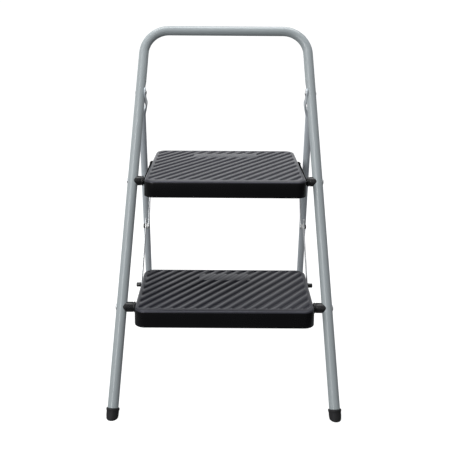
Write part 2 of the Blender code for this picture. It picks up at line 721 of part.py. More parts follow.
def rear_leg(name, side, mat, root):
    """One rear leg: solid flat top, hollow round tube below, open at the foot."""
    end = REAR_LENGTH - FOOT_SOLE - GAP - 0.004
    tip = [-TANG_HALF_WIDTH * math.cos(k / 6 * math.pi / 2) for k in range(1, 6)]
    bent = [TANG_LENGTH + CRANK_LENGTH * k / 8 for k in range(8)]
    crank = bent + [SWELL_START + SWELL_LENGTH * k / 8 for k in range(9)]
    outer = [rear_ring(t, side, 0.0) for t in tip + [0.0] + crank + [end]]
    inner = [rear_ring(t, side, TUBE_WALL) for t in [end, crank[-1] + 0.004]]
    leg = add_object(f"rear_leg_{name}", skin(bmesh.new(), outer + inner), mat, root)
    reach = 0.012
    ends = sorted((side * (TANG_X - reach), side * (TANG_X + reach)))
    cut(leg, bar_x(REAR_PIVOT, *ends, RIVET_R + RUN_CLEAR), "rivet_hole")
    place = crossbar_place()
    ends = sorted((side * 0.1, side * 0.3))
    cut(leg, bar_x(place, *ends, RIVET_R + GAP), "bolt_hole")


def rear_t(z):
    """Distance down a rear tube's centre line at height z."""
    return (REAR_PIVOT.z + REAR_OFFSET * REAR_BACK.z - z) / -REAR_DOWN.z


def crossbar_place():
    return REAR_PIVOT + REAR_DOWN * rear_t(CROSSBAR_Z) + REAR_BACK * REAR_OFFSET


def rear_set(paint, metal, rubber, root):
    place = crossbar_place()
    t = rear_t(CROSSBAR_Z)
    leg_x = rear_half(t)
    inside = leg_x - REAR_TUBE_R - 2 * GAP
    bar_bore = CROSSBAR_R - TUBE_WALL
    tube = [(-inside, bar_bore), (-inside, CROSSBAR_R), (inside, CROSSBAR_R), (inside, bar_bore)]
    add_object("rear_crossbar", turned_x(place, tube, True, SMALL_ROUND), paint, root)
    bolt_in = inside - 0.012
    bolt_out = leg_x + REAR_TUBE_R + 2 * GAP
    for name, side in (("left", -1), ("right", 1)):
        rear_leg(name, side, paint, root)
        bolt = [
            (bolt_in, RIVET_R),
            (bolt_out, RIVET_R),
            (bolt_out, RIVET_HEAD_R),
            (bolt_out + 0.0012, RIVET_HEAD_R),
            (bolt_out + 0.0020, 0.6 * RIVET_HEAD_R),
        ]
        add_object(f"crossbar_bolt_{name}", turned_x(place, bolt, False, SMALL_ROUND, side), metal, root)
        plug = [
            (inside - 0.014, RIVET_R + GAP),
            (inside - 0.014, bar_bore - GAP),
            (inside - GAP, bar_bore - GAP),
            (inside - GAP, RIVET_R + GAP),
        ]
        add_object(f"crossbar_plug_{name}", turned_x(place, plug, True, SMALL_ROUND, side), rubber, root)
        sole_t = REAR_LENGTH
        floor_point = REAR_PIVOT + REAR_DOWN * sole_t + REAR_BACK * REAR_OFFSET
        floor_point.x = side * rear_half(sole_t)
        lower = Vector((side * (rear_half(sole_t) - rear_half(0)), 0, 0)) / sole_t
        axis = -(REAR_DOWN + lower).normalized()
        foot(f"rear_foot_{name}", rubber, root, floor_point, axis, REAR_TUBE_R, REAR_FOOT_R)


# ---------------------------------------------------------------- build
def build():
    clear_scene()
    paint = material("grey_paint", (0.33, 0.365, 0.38), 0.35, 0.0)
    zinc = material("zinc_steel", (0.55, 0.56, 0.57), 0.35, 1.0)
    step_black = material("step_black", (0.012, 0.012, 0.014), 0.3)
    plastic = material("black_plastic", (0.01, 0.01, 0.011), 0.4)
    rubber = material("black_rubber", (0.012, 0.012, 0.012), 0.7)
    nylon = material("white_nylon", (0.8, 0.8, 0.78), 0.45)

    frame = pivot("frame_origin", Vector())
    front_frame(paint, frame)
    front_feet(rubber, frame)
    axle_set("upper", UPPER_AXLE, UPPER_PIVOT_S, zinc, plastic, frame)
    axle_set("lower", LOWER_AXLE, LOWER_PIVOT_S, zinc, plastic, frame)
    top_rivets(zinc, frame)

    upper_step_set(step_black, zinc, plastic, pivot("upper_step_axis", UPPER_AXLE))
    lower_step_set(step_black, zinc, plastic, pivot("lower_step_axis", LOWER_AXLE))
    for name, side in (("left", -1), ("right", 1)):
        side_link(name, side, zinc, plastic, nylon, pivot(f"link_axis_{name}", UPPER_LINK_PIN))
    rear_set(paint, zinc, rubber, pivot("rear_leg_axis", REAR_PIVOT))
    bpy.context.view_layer.update()


build()
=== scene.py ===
import json
import math

import bmesh
import bpy
from mathutils import Matrix, Vector


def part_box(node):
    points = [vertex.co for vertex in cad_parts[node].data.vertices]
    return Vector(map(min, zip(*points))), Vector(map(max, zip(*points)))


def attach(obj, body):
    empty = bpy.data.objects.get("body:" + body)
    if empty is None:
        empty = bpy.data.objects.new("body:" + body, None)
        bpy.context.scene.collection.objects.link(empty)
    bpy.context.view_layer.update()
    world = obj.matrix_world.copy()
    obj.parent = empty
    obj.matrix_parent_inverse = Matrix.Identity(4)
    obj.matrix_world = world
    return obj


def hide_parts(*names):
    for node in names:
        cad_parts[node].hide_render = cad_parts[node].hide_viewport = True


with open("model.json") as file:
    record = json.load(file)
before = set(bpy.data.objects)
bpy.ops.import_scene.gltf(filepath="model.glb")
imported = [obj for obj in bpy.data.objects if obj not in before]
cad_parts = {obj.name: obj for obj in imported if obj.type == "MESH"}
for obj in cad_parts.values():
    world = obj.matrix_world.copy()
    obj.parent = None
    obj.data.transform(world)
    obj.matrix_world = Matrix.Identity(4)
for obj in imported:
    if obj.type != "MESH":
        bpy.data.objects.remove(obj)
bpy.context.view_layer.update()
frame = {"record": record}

# ---------------------------------------------------------------- studio
# A plain white floor under soft light: a wide lamp high on the left, a broad one overhead,
# a tall narrow one in front, and a pale room that darkens to the right and to the front.
scene = bpy.context.scene
scene.view_settings.view_transform = "Standard"
scene.view_settings.look = "None"

lens = bpy.data.cameras.new("studio_camera")
lens.lens = 60.0
lens.sensor_width = 36.0
lens.shift_y = -0.284
camera = bpy.data.objects.new("studio_camera", lens)
camera.location = (-0.0034, -1.631, 0.8566)
camera.rotation_euler = (math.radians(90.0 - 9.0), math.radians(-0.39), 0.0)
scene.collection.objects.link(camera)
scene.camera = camera


class Wire:
    """A shader socket that does sums: each operator adds the Math node that does it."""

    def __init__(self, tree, socket):
        self.tree = tree
        self.socket = socket

    def math(self, operation, *others):
        settings = {"operation": operation}
        values = {i: value for i, value in enumerate((self, *others))}
        return Shop(self.tree).node("ShaderNodeMath", settings, values)["Value"]

    def __add__(self, other):
        return self.math("ADD", other)

    def __mul__(self, other):
        return self.math("MULTIPLY", other)

    __radd__ = __add__
    __rmul__ = __mul__


class Shop:
    """Builds one node tree: node() adds any node, its settings first and then its sockets."""

    def __init__(self, tree):
        self.tree = tree

    def node(self, kind, settings=None, sockets=None):
        made = self.tree.nodes.new(kind)
        for key, value in (settings or {}).items():
            setattr(made, key, value)
        for key, value in (sockets or {}).items():
            self.feed(made.inputs[key], value)
        return {out.name: Wire(self.tree, out) for out in made.outputs if out.enabled}

    def feed(self, socket, value):
        if isinstance(value, Wire):
            self.tree.links.new(value.socket, socket)
        else:
            socket.default_value = value

    def fade(self, value, start, end, low, high):
        """Runs from low to high as value goes from start to end, smoothly."""
        settings = {"interpolation_type": "SMOOTHSTEP"}
        sockets = {"Value": value, "From Min": start, "From Max": end, "To Min": low, "To Max": high}
        return self.node("ShaderNodeMapRange", settings, sockets)["Result"]

    def blend(self, factor, first, second):
        """Mixes two colours, each a wire or three numbers."""
        first = first if isinstance(first, Wire) else (*first, 1.0)
        second = second if isinstance(second, Wire) else (*second, 1.0)
        sockets = {0: factor, 6: first, 7: second}
        return self.node("ShaderNodeMix", {"data_type": "RGBA"}, sockets)["Result"]


class Finish(Shop):
    """A surface finish: a Principled shader whose constant sockets are set straight away."""

    def __init__(self, name, **constants):
        self.material = bpy.data.materials.new(name)
        self.material.use_nodes = True
        super().__init__(self.material.node_tree)
        self.shader = self.tree.nodes["Principled BSDF"]
        for key, value in constants.items():
            self.shader.inputs[key.replace("_", " ")].default_value = value
        self.place = self.node("ShaderNodeTexCoord")["Object"]

    def noise(self, scale, detail=2.0, rough=0.5, stretch=(1.0, 1.0, 1.0)):
        """Cloudy noise on the object's own coordinates, scale in cells per metre."""
        where = self.place
        if stretch != (1.0, 1.0, 1.0):
            where = self.node("ShaderNodeMapping", None, {"Vector": where, "Scale": stretch})["Vector"]
        sockets = {"Vector": where, "Scale": scale, "Detail": detail, "Roughness": rough}
        return self.node("ShaderNodeTexNoise", None, sockets)["Fac"]

    def wear(self, **wires):
        """Feed the shader sockets that change over the surface."""
        for key, value in wires.items():
            self.feed(self.shader.inputs[key.replace("_", " ")], value)

    def relief(self, height, distance, strength=1.0):
        """Bump of a given height in metres, fed to the normal."""
        sockets = {"Height": height, "Distance": distance, "Strength": strength}
        self.feed(self.shader.inputs["Normal"], self.node("ShaderNodeBump", None, sockets)["Normal"])


room = bpy.data.worlds.new("pale_room")
scene.world = room
room.use_nodes = True
room.node_tree.nodes.clear()
air = Shop(room.node_tree)
look = air.node("ShaderNodeTexCoord")["Generated"]
split = air.node("ShaderNodeSeparateXYZ", None, {"Vector": look})
above = air.fade(split["Z"], -0.12, 0.08, 0.30, 1.0)
right = air.fade(split["X"], -0.1, 0.95, 1.0, 0.34)
ahead = air.fade(split["Y"], -0.95, 0.1, 0.55, 1.0)
behind = air.fade(split["Y"], 0.3, 0.9, 0.0, 1.0) * air.fade(split["Z"], 0.26, 0.40, 0.5, -0.45)
strength = 0.88 * above * right * ahead * (1.0 + behind)
glow = air.node(
    "ShaderNodeBackground", None, {"Color": (0.97, 0.985, 1.0, 1.0), "Strength": strength}
)["Background"]
blank = air.node("ShaderNodeBackground", None, {"Color": (1.0, 1.0, 1.0, 1.0), "Strength": 1.0})["Background"]
seen = air.node("ShaderNodeLightPath")["Is Camera Ray"]
mixed = air.node("ShaderNodeMixShader", None, {0: seen, 1: glow, 2: blank})["Shader"]
air.node("ShaderNodeOutputWorld", None, {"Surface": mixed})


def lamp(name, place, aim, width, height, power):
    """A soft rectangular lamp turned to face a point."""
    light = bpy.data.lights.new(name, "AREA")
    light.shape = "RECTANGLE"
    light.size = width
    light.size_y = height
    light.energy = power
    holder = bpy.data.objects.new(name, light)
    holder.location = place
    holder.rotation_euler = (Vector(aim) - Vector(place)).to_track_quat("-Z", "Y").to_euler()
    scene.collection.objects.link(holder)


lamp("key_lamp", (-1.9, -1.5, 1.9), (0.0, 0.0, 0.35), 0.9, 1.6, 9.0)
lamp("top_lamp", (0.0, 0.3, 2.4), (0.0, 0.0, 0.3), 2.0, 1.2, 30.0)
lamp("strip_lamp", (-1.1, -2.05, 1.3), (0.0, 0.0, 0.4), 0.3, 1.8, 19.0)


def let_go():
    """Leave edit mode and select nothing, because an operator acts on all that is selected."""
    if bpy.context.object and bpy.context.object.mode == "EDIT":
        bpy.ops.object.mode_set(mode="OBJECT")
    bpy.ops.object.select_all(action="DESELECT")


let_go()
bpy.ops.mesh.primitive_plane_add(size=60.0, location=(0.0, 0.0, -0.0004))
floor = bpy.context.object
floor.name = "floor"
floor.visible_glossy = False
floor.visible_diffuse = False
paper = Finish(
    "floor_paper", Roughness=0.9, Specular_IOR_Level=0.0,
    Emission_Color=(1.0, 1.0, 1.0, 1.0), Emission_Strength=0.92,
)
paper.wear(Base_Color=paper.blend(paper.noise(3.0), (0.24, 0.24, 0.24), (0.26, 0.26, 0.26)))
floor.data.materials.append(paper.material)

# ---------------------------------------------------------------- front frame
# One hoop of 19 mm steel tube with a 1.2 mm wall, bent twice to make the hand rail. Each
# leg is pressed flat on its inner side where a rear leg is riveted to it, then painted grey.
LEAN = math.radians(23.7)
FLOOR_Y = -0.269925
FOOT_HALF = 0.2199
RAIL_HALF = 0.1802
RAIL_UP = 0.808
FLARE = (FOOT_HALF - RAIL_HALF) / RAIL_UP
TUBE_R = 0.009525
TUBE_WALL = 0.0012
BEND_R = 0.055
RIVET_UP = 0.664
PRESS_DEPTH = 0.0012
PRESS_LENGTH = 0.048
PRESS_RISE = 2.2
CAP_GAP = 0.0083
LEANING = Matrix.Translation((0.0, FLOOR_Y, 0.0)) @ Matrix.Rotation(-LEAN, 4, "X")


def leg_x(up):
    """Half the spacing of the front legs, so far up the frame."""
    return FOOT_HALF - FLARE * up


grey = Finish("grey_paint", Roughness=0.34, Coat_Weight=0.35, Coat_Roughness=0.12, Specular_IOR_Level=0.5)
cloud = grey.noise(9.0, 3.0)
grain = grey.noise(1900.0, 2.0, 0.6)
dust = grey.noise(260.0, 4.0, 0.7)
tone = grey.blend(cloud, (0.335, 0.375, 0.390), (0.375, 0.412, 0.425))
tone = grey.blend(grey.fade(dust, 0.60, 0.80, 0.0, 0.10), tone, (0.55, 0.58, 0.59))
grey.wear(Base_Color=tone, Roughness=0.27 + 0.12 * cloud + 0.05 * dust)
grey.relief(grain + 0.4 * dust, 0.00006, 0.35)


def grab(test):
    """In edit mode, select just the vertices whose place passes a test."""
    mesh = bmesh.from_edit_mesh(bpy.context.object.data)
    bpy.ops.mesh.select_all(action="DESELECT")
    for vertex in mesh.verts:
        vertex.select = test(vertex.co)
    mesh.select_flush_mode()
    bmesh.update_edit_mesh(bpy.context.object.data)


def draw_out(step, scale=(1.0, 1.0, 1.0)):
    """Pull the selected rim out by a step and scale it about its own middle."""
    bpy.ops.mesh.extrude_region_move(TRANSFORM_OT_translate={"value": step})
    if scale != (1.0, 1.0, 1.0):
        bpy.ops.transform.resize(value=scale)


def shape_done(name, surface, body, stands_for, place=None, angle=38.0):
    """Fix a piece's place in its mesh, close and smooth it, paint it and hang it on its body."""
    bpy.ops.object.mode_set(mode="OBJECT")
    piece = bpy.context.object
    piece.name = name
    piece.data.name = name
    if place is not None:
        piece.matrix_world = place @ piece.matrix_world
    bpy.ops.object.transform_apply(location=True, rotation=True, scale=True)
    bpy.ops.object.mode_set(mode="EDIT")
    bpy.ops.mesh.select_all(action="SELECT")
    bpy.ops.mesh.remove_doubles(threshold=0.000001)
    bpy.ops.mesh.normals_make_consistent(inside=False)
    bpy.ops.object.mode_set(mode="OBJECT")
    bpy.ops.object.shade_smooth_by_angle(angle=math.radians(angle))
    piece.data.materials.clear()
    piece.data.materials.append(surface.material)
    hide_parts(*stands_for)
    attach(piece, body)
    return piece


slope = math.atan(FLARE)
turn = math.pi / 2 - slope
setback = BEND_R / math.tan((math.pi - turn) / 2)
along = Vector((math.sin(slope), 0.0, math.cos(slope)))
bend_start = Vector((-RAIL_HALF, 0.0, RAIL_UP)) - along * setback
bend_centre = bend_start + Vector((along.z, 0.0, -along.x)) * BEND_R

let_go()
leg_foot = Vector((-FOOT_HALF, 0.0, 0.0)) + along * CAP_GAP
bpy.ops.mesh.primitive_circle_add(
    vertices=48, radius=TUBE_R, location=leg_foot, rotation=(0.0, slope, 0.0), fill_type="NOTHING"
)
bpy.ops.object.transform_apply(location=True, rotation=True, scale=True)
bpy.ops.object.mode_set(mode="EDIT")
bpy.ops.mesh.select_all(action="SELECT")
stations = [RIVET_UP + PRESS_LENGTH * k / 16 for k in range(-8, 9)]
here = leg_foot
path = [Vector((-leg_x(up), 0.0, up)) for up in stations] + [bend_start]
for point in path:
    draw_out(point - here)
    here = point
bpy.ops.mesh.spin(steps=16, angle=-turn, center=bend_centre, axis=(0.0, 1.0, 0.0))
rail_start = Vector((bend_centre.x, 0.0, bend_centre.z + BEND_R))
draw_out((-2.0 * rail_start.x, 0.0, 0.0))
bpy.ops.mesh.spin(
    steps=16, angle=-turn, center=(-bend_centre.x, 0.0, bend_centre.z), axis=(0.0, 1.0, 0.0)
)
here = Vector((-bend_start.x, 0.0, bend_start.z))
for point in reversed([leg_foot] + path[:-1]):
    point = Vector((-point.x, point.y, point.z))
    draw_out(point - here)
    here = point
for up in stations:
    share = min(1.0, PRESS_RISE * (1.0 - abs(up - RIVET_UP) / (PRESS_LENGTH / 2)))
    flat_x = leg_x(RIVET_UP) - TUBE_R + PRESS_DEPTH
    limit = leg_x(up) - TUBE_R
    limit += (flat_x - limit) * share
    for sign in (-1.0, 1.0):
        grab(lambda v: abs(v.z - up) < 0.0012 and 0.0 < sign * v.x < limit)
        bpy.ops.transform.resize(value=(0.0, 1.0, 1.0), center_override=(sign * limit, 0.0, 0.0))
bpy.ops.object.mode_set(mode="OBJECT")
bpy.ops.object.modifier_add(type="SOLIDIFY")
wall = bpy.context.object.modifiers[-1]
wall.thickness = TUBE_WALL
wall.offset = -1.0
bpy.ops.object.modifier_apply(modifier=wall.name)
shape_done("frame_hoop", grey, "frame", ["front_frame"], LEANING)

# ---------------------------------------------------------------- front feet
# Black rubber ferrules pushed over the cut ends of the frame, each with a thick rolled
# collar at the top, and moulded so that the sole lies flat on the floor.
FERRULE_R = 0.0122
FERRULE_LENGTH = 0.019
COLLAR = 0.0009

rubber = Finish("foot_rubber", Roughness=0.62, Specular_IOR_Level=0.35)
scuff = rubber.noise(420.0, 4.0, 0.65)
rubber.wear(
    Base_Color=rubber.blend(scuff, (0.010, 0.010, 0.011), (0.022, 0.022, 0.024)),
    Roughness=0.50 + 0.22 * scuff,
)
rubber.relief(scuff, 0.00012, 0.4)


def turn_up(outline, sides=48):
    """A solid turned about local Z: a disc whose rim is pulled on from ring to ring."""
    let_go()
    up, radius = outline[0]
    bpy.ops.mesh.primitive_circle_add(vertices=sides, radius=radius, location=(0, 0, 0), fill_type="NGON")
    bpy.ops.object.mode_set(mode="EDIT")
    bpy.ops.mesh.select_all(action="SELECT")
    bpy.ops.transform.translate(value=(0.0, 0.0, up))
    for next_up, next_radius in outline[1:]:
        share = next_radius / radius
        draw_out((0.0, 0.0, next_up - up), (share, share, 1.0))
        up, radius = next_up, next_radius


def ferrule(name, body, stands_for, sole, axis, tube_r, outer_r):
    """A rubber foot on its tube's axis, cut off level with the floor."""
    length = FERRULE_LENGTH
    rim = outer_r + COLLAR
    turn_up([
        (-0.0120, outer_r - 0.0016),
        (0.0010, outer_r - 0.0006),
        (0.0060, outer_r),
        (length - 0.0062, outer_r + 0.0001),
        (length - 0.0048, outer_r + 0.0004),
        (length - 0.0038, rim),
        (length - 0.0014, rim),
        (length - 0.0004, rim - 0.0004),
        (length, rim - 0.0012),
        (length, tube_r + 0.0006),
        (length - 0.0020, tube_r + 0.0002),
    ])
    bpy.ops.object.mode_set(mode="OBJECT")
    turned = axis.to_track_quat("Z", "Y").to_matrix().to_4x4()
    piece = bpy.context.object
    piece.matrix_world = Matrix.Translation(sole) @ turned
    bpy.ops.object.transform_apply(location=True, rotation=True, scale=True)
    bpy.ops.object.mode_set(mode="EDIT")
    bpy.ops.mesh.select_all(action="SELECT")
    bpy.ops.mesh.bisect(plane_co=(0, 0, 0), plane_no=(0, 0, 1), clear_inner=True, use_fill=True)
    bpy.ops.mesh.bevel(offset=0.0012, segments=3)
    shape_done(name, rubber, body, stands_for)


for side, sign in (("left", -1.0), ("right", 1.0)):
    sole = LEANING @ Vector((sign * FOOT_HALF, 0.0, 0.0))
    axis = LEANING.to_3x3() @ Vector((-sign * FLARE, 0.0, 1.0)).normalized()
    ferrule(f"foot_front_{side}", "frame", [f"front_foot_{side}"], sole, axis, TUBE_R, FERRULE_R)

# ---------------------------------------------------------------- steps
# Two trays moulded in black plastic: a rounded skirt all round, cross ribs underneath, and
# slanting grooves sunk in the tread behind a smooth border, with a plain pad at the back.
OVERHANG = 0.042
AXLE_DROP = 0.010
SKIRT = 0.035
SKIRT_WALL = 0.0023
CORNER_R = 0.022
EDGE_R = 0.0045
TREAD_THICK = 0.0044
RIB_STOP = 0.019
RIB_X = 0.058
RIB_HALF = 0.0015
RIB_PLACE = 0.55
LEDGE_OUT = 0.1735
LEDGE_HIGH = 0.0048
LEDGE_LOW = 0.0130
LEDGE_SLANT = 0.0060
GROOVE_PITCH = 0.01907
GROOVE_TURN = math.radians(53.3)
GROOVE_DEPTH = 0.0019
RUN_OUT = 0.0026
SIDE_BORDER = 0.0030
FRONT_BORDER = 0.0160
# half width of a groove's hollow at each level, and the share of its depth there
GROOVE_LEVELS = ((0.0051, 0.0), (0.0042, 0.25), (0.0031, 0.75), (0.0017, 1.0))

gloss = Finish("step_skirt", Roughness=0.24, Specular_IOR_Level=0.28)
swirl = gloss.noise(14.0, 3.0)
pebble = gloss.noise(1500.0, 2.0, 0.6)
gloss.wear(
    Base_Color=gloss.blend(swirl, (0.0020, 0.0020, 0.0026), (0.0036, 0.0035, 0.0044)),
    Roughness=0.20 + 0.08 * swirl + 0.05 * pebble,
)
gloss.relief(pebble, 0.00003, 0.3)

satin = Finish(
    "step_tread", Roughness=0.30, Specular_IOR_Level=0.5, Specular_Tint=(0.86, 0.86, 1.0, 1.0)
)
swirl = satin.noise(16.0, 3.0)
pebble = satin.noise(1300.0, 2.0, 0.6)
rubbed = satin.noise(90.0, 4.0, 0.7)
satin.wear(
    Base_Color=satin.blend(
        satin.fade(rubbed, 0.55, 0.8, 0.0, 0.6), (0.012, 0.012, 0.0165), (0.024, 0.024, 0.031)
    ),
    Roughness=0.24 + 0.10 * swirl + 0.08 * pebble,
)
satin.relief(pebble, 0.00004, 0.35)


def pick(kind, test):
    """In edit mode, select just the faces (middle, normal) or edges (two ends) that pass a test."""
    bpy.ops.mesh.select_mode(type=kind)
    mesh = bmesh.from_edit_mesh(bpy.context.object.data)
    bpy.ops.mesh.select_all(action="DESELECT")
    if kind == "FACE":
        for face in mesh.faces:
            face.select = test(face.calc_center_median(), face.normal)
    else:
        for edge in mesh.edges:
            edge.select = test(edge.verts[0].co, edge.verts[1].co)
    mesh.select_flush_mode()
    bmesh.update_edit_mesh(bpy.context.object.data)


def mould_step(name, body, node, axle, depth, half_front, half_back, pad, first_groove):
    """One tray, shaped from a block. pad is (half width, gap behind it, depth) of the plain patch."""
    front = axle.y - OVERHANG
    back = front + depth
    top = axle.z + AXLE_DROP
    bottom = top - SKIRT
    let_go()
    bpy.ops.mesh.primitive_cube_add(size=1.0, location=(0.0, (front + back) / 2, (top + bottom) / 2))
    bpy.ops.transform.resize(value=(2 * half_front, depth, SKIRT))
    bpy.ops.object.transform_apply(location=True, rotation=True, scale=True)
    bpy.ops.object.mode_set(mode="EDIT")
    grab(lambda v: v.y > back - 0.001)
    bpy.ops.transform.resize(value=(half_back / half_front, 1.0, 1.0), center_override=(0.0, back, top))
    pick("EDGE", lambda a, b: abs(a.z - b.z) > SKIRT / 2)
    bpy.ops.mesh.bevel(offset=CORNER_R, segments=12)
    pick("EDGE", lambda a, b: min(a.z, b.z) > top - 0.0001)
    bpy.ops.mesh.bevel(offset=EDGE_R, segments=5)
    pick("EDGE", lambda a, b: max(a.z, b.z) < bottom + 0.0001)
    bpy.ops.mesh.bevel(offset=0.0007, segments=2)

    # hollow underside: the bottom is sunk up to the tread, then the ribs are pulled down
    ceiling = top - TREAD_THICK
    rib_y = front + RIB_PLACE * depth
    under = lambda c, n: n.z < -0.99 and abs(c.z - ceiling) < 0.0002
    pick("FACE", lambda c, n: n.z < -0.99)
    bpy.ops.mesh.inset(thickness=SKIRT_WALL)
    bpy.ops.mesh.extrude_region_move(TRANSFORM_OT_translate={"value": (0.0, 0.0, ceiling - bottom)})
    for x in (-RIB_X - RIB_HALF, -RIB_X + RIB_HALF, RIB_X - RIB_HALF, RIB_X + RIB_HALF):
        pick("FACE", under)
        bpy.ops.mesh.bisect(plane_co=(x, 0.0, 0.0), plane_no=(1, 0, 0))
    for y in (rib_y - RIB_HALF, rib_y + RIB_HALF):
        pick("FACE", under)
        bpy.ops.mesh.bisect(plane_co=(0.0, y, 0.0), plane_no=(0, 1, 0))
    rib = lambda c: abs(abs(c.x) - RIB_X) < RIB_HALF or abs(c.y - rib_y) < RIB_HALF
    pick("FACE", lambda c, n: under(c, n) and rib(c))
    drop = bottom + RIB_STOP - ceiling
    bpy.ops.mesh.extrude_region_move(TRANSFORM_OT_translate={"value": (0.0, 0.0, drop)})

    # tread: inset borders, then cuts along the pad, the front border and every groove
    pick("FACE", lambda c, n: n.z > 0.99)
    for width in (SIDE_BORDER, RUN_OUT / 2, RUN_OUT / 2):
        bpy.ops.mesh.inset(thickness=width)
    border = EDGE_R + SIDE_BORDER
    pad_half, pad_gap, pad_depth = pad
    pad_front, pad_back = back - pad_gap - pad_depth, back - pad_gap

    def inside(v):
        """How far a point of the tread lies inside the side border's inner edge."""
        half = half_front + (half_back - half_front) * (v.y - front) / depth - border
        reach_x = half - abs(v.x)
        reach_y = min(v.y - front, back - v.y) - border
        corner = CORNER_R - border
        if max(reach_x, reach_y) < corner:
            return corner - math.hypot(corner - reach_x, corner - reach_y)
        return min(reach_x, reach_y)

    def off_pad(v):
        """How far a point lies outside the plain pad, negative on it."""
        return max(abs(v.x) - pad_half, pad_front - v.y, v.y - pad_back)

    field = lambda c, n: n.z > 0.99 and c.z > top - 0.0001 and inside(c) > -0.0004
    for grow in (0.0, RUN_OUT / 2, RUN_OUT):
        pick("FACE", field)
        bpy.ops.mesh.bisect(plane_co=(0.0, front + FRONT_BORDER + grow, 0.0), plane_no=(0, 1, 0))
        for y in (pad_front - grow, pad_back + grow):
            pick("FACE", field)
            bpy.ops.mesh.bisect(plane_co=(0.0, y, 0.0), plane_no=(0, 1, 0))
    for x in (pad_half, pad_half + RUN_OUT / 2, pad_half + RUN_OUT):
        for way in (-1.0, 1.0):
            pick("FACE", lambda c, n: field(c, n) and pad_front - RUN_OUT < c.y < pad_back + RUN_OUT)
            bpy.ops.mesh.bisect(plane_co=(way * x, 0.0, 0.0), plane_no=(1, 0, 0))
    across = Vector((math.sin(GROOVE_TURN), -math.cos(GROOVE_TURN), 0.0))
    origin = Vector((first_groove, front, 0.0))
    count = int((half_front + depth) / GROOVE_PITCH) + 1
    for k in range(-count, count + 1):
        for half, share in GROOVE_LEVELS:
            for way in (-1.0, 1.0):
                pick("FACE", field)
                cut = origin + across * (k * GROOVE_PITCH + way * half)
                bpy.ops.mesh.bisect(plane_co=cut, plane_no=across)

    def hollow(v):
        """Share of the full groove depth at a point of the tread."""
        off = (v - origin).dot(across) / GROOVE_PITCH
        off = abs(off - round(off)) * GROOVE_PITCH
        deep = 1.0 if off < GROOVE_LEVELS[-1][0] else 0.0
        for (wide, high), (narrow, low) in zip(GROOVE_LEVELS, GROOVE_LEVELS[1:]):
            if narrow - 0.00002 <= off <= wide + 0.00002:
                deep = high + (low - high) * (wide - off) / (wide - narrow)
        run = min(inside(v), off_pad(v), v.y - front - FRONT_BORDER) / RUN_OUT
        run = max(0.0, min(1.0, run))
        return deep * run * (2.0 - run)

    bpy.ops.mesh.select_mode(type="VERT")
    mesh = bmesh.from_edit_mesh(bpy.context.object.data)
    for vertex in mesh.verts:
        if abs(vertex.co.z - top) < 0.00002 and inside(vertex.co) > 0.0:
            vertex.co.z -= GROOVE_DEPTH * hollow(vertex.co)
    bmesh.update_edit_mesh(bpy.context.object.data)
    if node == "upper_step":
        side_ledges(front, top)
    piece = shape_done(name, gloss, body, [node], None, 32.0)
    piece.data.materials.append(satin.material)
    for face in piece.data.polygons:
        if face.center.z > top - EDGE_R * 0.9 and face.normal.z > 0.2:
            face.material_index = 1
    return piece


def side_ledges(front, top):
    """The ledge along each side of the upper tray, from its front corner back to the rod's end."""
    start = front + CORNER_R
    stop = middle_of("upper_rear_rod").y + 0.0060
    for sign in (-1.0, 1.0):
        wall = lambda c, n: n.x * sign > 0.9 and abs(c.x) > 0.15
        for z in (top - LEDGE_LOW, top - LEDGE_HIGH):
            pick("FACE", wall)
            bpy.ops.mesh.bisect(plane_co=(0.0, 0.0, z), plane_no=(0, 0, 1))
        pick("FACE", wall)
        bpy.ops.mesh.bisect(plane_co=(0.0, stop, 0.0), plane_no=(0, 1, 0))
        level = lambda c: top - LEDGE_LOW < c.z < top - LEDGE_HIGH
        patch = lambda c, n: wall(c, n) and start < c.y < stop and level(c)
        pick("FACE", patch)
        bpy.ops.mesh.extrude_region_move(TRANSFORM_OT_translate={"value": (0.0, 0.0, 0.0)})
        bpy.ops.transform.resize(value=(0.0, 1.0, 1.0), center_override=(sign * LEDGE_OUT, 0.0, 0.0))
        edge = lambda v: abs(v.x - sign * LEDGE_OUT) < 0.00001
        grab(lambda v: edge(v) and v.y < start + 0.004)
        bpy.ops.transform.translate(value=(0.0, LEDGE_SLANT, 0.0))
        pick("EDGE", lambda a, b: edge(a) and edge(b))
        bpy.ops.mesh.bevel(offset=0.0009, segments=3)


def middle_of(node):
    """The middle of a CAD node's box."""
    low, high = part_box(node)
    return (Vector(low) + Vector(high)) / 2


mould_step(
    "upper_tray", "upper_step", "upper_step", middle_of("upper_axle"), 0.288, 0.1710, 0.1665,
    (0.0740, 0.0360, 0.0340), 0.0105,
)
mould_step(
    "lower_tray", "lower_step", "lower_step", middle_of("lower_axle"), 0.220, 0.1810, 0.1805,
    (0.0545, 0.0270, 0.0350), 0.0069,
)

# ---------------------------------------------------------------- axles and spacers
# Plated steel rods run right across the stool under each tread, held outside the legs by
# pressed heads. Black plastic spacers, cupped to seat on the tube, keep each step central.
zinc = Finish("zinc_plate", Metallic=1.0, Roughness=0.3)
brush = zinc.noise(700.0, 3.0, 0.6, (1.0, 1.0, 0.15))
spangle = zinc.noise(120.0, 3.0)
zinc.wear(
    Base_Color=zinc.blend(spangle, (0.50, 0.51, 0.53), (0.66, 0.67, 0.68)),
    Roughness=0.24 + 0.16 * brush + 0.06 * spangle,
)
zinc.relief(brush, 0.00003, 0.25)

black = Finish("black_plastic", Roughness=0.26, Specular_IOR_Level=0.45)
speck = black.noise(900.0, 3.0, 0.6)
black.wear(
    Base_Color=black.blend(speck, (0.006, 0.006, 0.007), (0.012, 0.012, 0.013)),
    Roughness=0.20 + 0.14 * speck,
)
black.relief(speck, 0.00004, 0.3)


